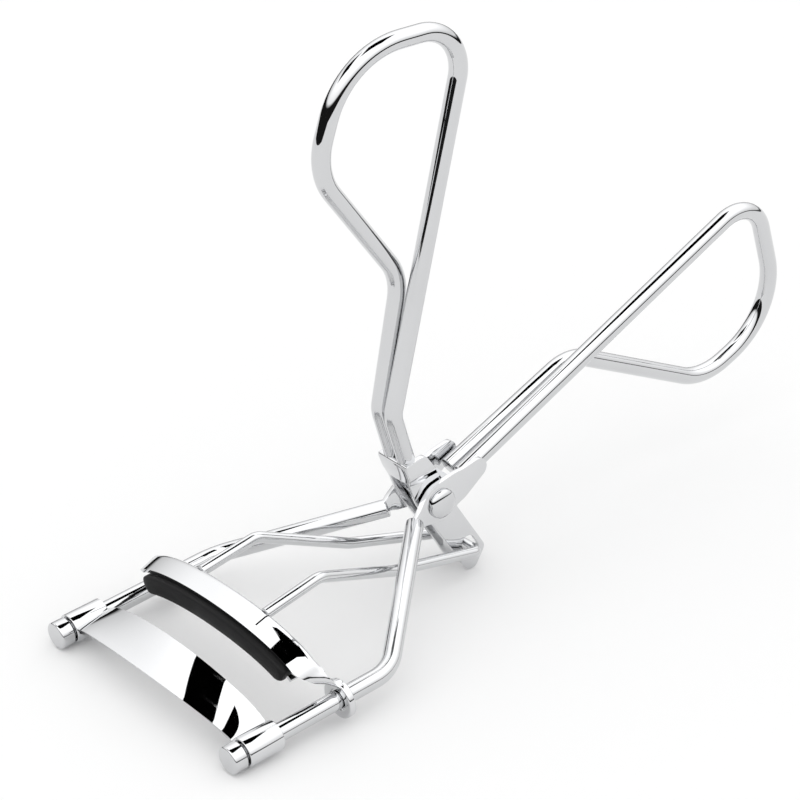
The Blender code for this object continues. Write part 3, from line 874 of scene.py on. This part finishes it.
def make_lever_loop():
    knee = [Vector((side * WIRE_OFFSET_X, *LEVER_KNEE)) for side in (1, -1)]
    start = [Vector((side * WIRE_OFFSET_X, *LEVER_WIRE_START)) for side in (1, -1)]
    middle = loop_corners(LEVER_KNEE, LEVER_GRIP_ANGLE, 1, LEVER_LOOP)
    corners = [start[0], knee[0], *middle, knee[1], start[1]]
    bm = wire_bmesh(rounded_path(corners, [4.0, *LOOP_RADII, 4.0]), WIRE_RADIUS)
    finish_piece("lever_finger_loop", bm, "lever", "lever_handle_loop", WIRE_CHROME)


def make_frame_loop():
    start = [Vector((side * WIRE_OFFSET_X, *FRAME_WIRE_START)) for side in (1, -1)]
    middle = loop_corners(FRAME_WIRE_START, FRAME_GRIP_ANGLE, -1, FRAME_LOOP)
    corners = [start[0], *middle, start[1]]
    bm = wire_bmesh(rounded_path(corners, LOOP_RADII), WIRE_RADIUS)
    finish_piece("frame_finger_loop", bm, "frame", "frame_handle_loop", WIRE_CHROME)


# ---------------------------------------------------------------- studio


def make_camera():
    az, el, roll = CAMERA_AZIMUTH, CAMERA_ELEVATION, CAMERA_ROLL
    back = Vector(
        (math.sin(az) * math.cos(el), -math.cos(az) * math.cos(el), math.sin(el))
    )
    right = Vector((math.cos(az), math.sin(az), 0))
    up = back.cross(right)
    rolled_right = math.cos(roll) * right + math.sin(roll) * up
    rolled_up = -math.sin(roll) * right + math.cos(roll) * up
    turn = Matrix((rolled_right, rolled_up, back)).transposed().to_4x4()
    data = bpy.data.cameras.new("camera")
    data.lens = CAMERA_LENS
    data.sensor_width = SENSOR
    data.clip_start = 0.01
    camera = bpy.data.objects.new("camera", data)
    bpy.context.scene.collection.objects.link(camera)
    camera.matrix_world = STAND @ Matrix.Translation(Vector(CAMERA_AT) * MM) @ turn
    bpy.context.scene.camera = camera


def make_floor():
    bm = bmesh.new()
    bmesh.ops.create_grid(bm, x_segments=8, y_segments=8, size=FLOOR_HALF_SIZE)
    mesh = bpy.data.meshes.new("floor")
    bm.to_mesh(mesh)
    bm.free()
    floor = bpy.data.objects.new("floor", mesh)
    bpy.context.scene.collection.objects.link(floor)
    floor.location.z = -0.00005
    material, tree, shader = node_graph("white_table")
    coords = add(tree, "ShaderNodeTexCoord")
    noise = add(tree, "ShaderNodeTexNoise")
    noise.inputs["Scale"].default_value = 2.0
    tree.links.new(coords.outputs["Object"], noise.inputs["Vector"])
    colour = add(tree, "ShaderNodeMix", data_type="RGBA")
    colour.inputs["A"].default_value = (0.94, 0.94, 0.94, 1.0)
    colour.inputs["B"].default_value = (0.96, 0.96, 0.96, 1.0)
    tree.links.new(noise.outputs["Fac"], colour.inputs["Factor"])
    tree.links.new(colour.outputs["Result"], shader.inputs["Base Color"])
    shader.inputs["Roughness"].default_value = 0.9
    shader.inputs["Specular IOR Level"].default_value = 0.1
    mesh.materials.append(material)


def make_card(name, direction, distance, width, height):
    """A black card that only mirrors see, as a studio flag gives polished metal its dark lines."""
    away = Vector(direction).normalized()
    bm = bmesh.new()
    bmesh.ops.create_grid(bm, x_segments=1, y_segments=1, size=0.5)
    mesh = bpy.data.meshes.new(name)
    bm.to_mesh(mesh)
    bm.free()
    card = bpy.data.objects.new(name, mesh)
    bpy.context.scene.collection.objects.link(card)
    card.rotation_mode = "QUATERNION"
    card.rotation_quaternion = away.to_track_quat("Z", "Y")
    card.location = away * distance + Vector((0, 0, 0.02))
    card.scale = (width, height, 1.0)
    material, tree, shader = node_graph(f"{name}_black")
    shader.inputs["Base Color"].default_value = (0.0, 0.0, 0.0, 1.0)
    shader.inputs["Roughness"].default_value = 1.0
    shader.inputs["Specular IOR Level"].default_value = 0.0
    mesh.materials.append(material)
    card.visible_camera = False
    card.visible_diffuse = False
    card.visible_shadow = False
    card.visible_transmission = False


def make_area_light(name, location, size, power):
    data = bpy.data.lights.new(name, "AREA")
    data.shape = "SQUARE"
    data.size = size
    data.energy = power
    light = bpy.data.objects.new(name, data)
    bpy.context.scene.collection.objects.link(light)
    light.location = location
    light.rotation_mode = "QUATERNION"
    light.rotation_quaternion = Vector(location).to_track_quat("Z", "Y")


def make_world():
    """White light all round. Mirrors see more: a dark horizon, higher at the front, below a sky that
    brightens upwards and is greyer at the left."""
    world = bpy.data.worlds.new("studio")
    world.use_nodes = True
    tree = world.node_tree
    background = tree.nodes["Background"]
    coords = add(tree, "ShaderNodeTexCoord")
    split = add(tree, "ShaderNodeSeparateXYZ")
    tree.links.new(coords.outputs["Generated"], split.inputs["Vector"])

    lean = add(tree, "ShaderNodeMath", operation="MULTIPLY_ADD")
    lean.inputs[1].default_value = HORIZON_LEAN
    tree.links.new(split.outputs["Y"], lean.inputs[0])
    tree.links.new(split.outputs["Z"], lean.inputs[2])
    horizon = remap(tree, lean.outputs["Value"], 0.012, 1.0, HORIZON_LOW, HORIZON_HIGH)
    sky = remap(tree, split.outputs["Z"], SKY_LOW, SKY_HIGH, 0.15, 0.6)
    left = remap(tree, split.outputs["X"], 0.74, 1.0, -0.95, -0.5)
    lit = add(tree, "ShaderNodeMath", operation="MULTIPLY")
    tree.links.new(sky, lit.inputs[0])
    tree.links.new(left, lit.inputs[1])
    dark = add(tree, "ShaderNodeMath", operation="MULTIPLY")
    tree.links.new(lit.outputs["Value"], dark.inputs[0])
    tree.links.new(horizon, dark.inputs[1])

    rays = add(tree, "ShaderNodeLightPath")
    mirror = add(tree, "ShaderNodeMix", data_type="FLOAT")
    mirror.inputs["A"].default_value = 1.0
    tree.links.new(rays.outputs["Is Glossy Ray"], mirror.inputs["Factor"])
    tree.links.new(dark.outputs["Value"], mirror.inputs["B"])
    tree.links.new(mirror.outputs["Result"], background.inputs["Color"])
    background.inputs["Strength"].default_value = WORLD_STRENGTH
    bpy.context.scene.world = world


make_camera()
for rod_side, side_name in ((-1, "left"), (1, "right")):
    make_guide_rod(rod_side, f"{side_name}_guide_rod")
    make_rod_cap(rod_side, f"{side_name}_rod_cap")
    make_push_wire(rod_side, f"{side_name}_push_wire")
make_fixed_jaw()
make_moving_jaw()
make_silicone_strip()
make_frame_yoke()
make_lever_yoke()
make_pivot_rivet()
make_frame_loop()
make_lever_loop()

make_floor()
make_world()
make_card("overhead_flag", (-0.09, 0.066, 0.98), distance=0.6, width=0.32, height=0.30)
make_card("front_flag", (-0.46, -0.39, 0.79), distance=0.61, width=0.35, height=0.22)
make_area_light("key", (0.25, -0.35, 0.9), 0.5, 0.3)
bpy.context.scene.view_settings.view_transform = "Standard"
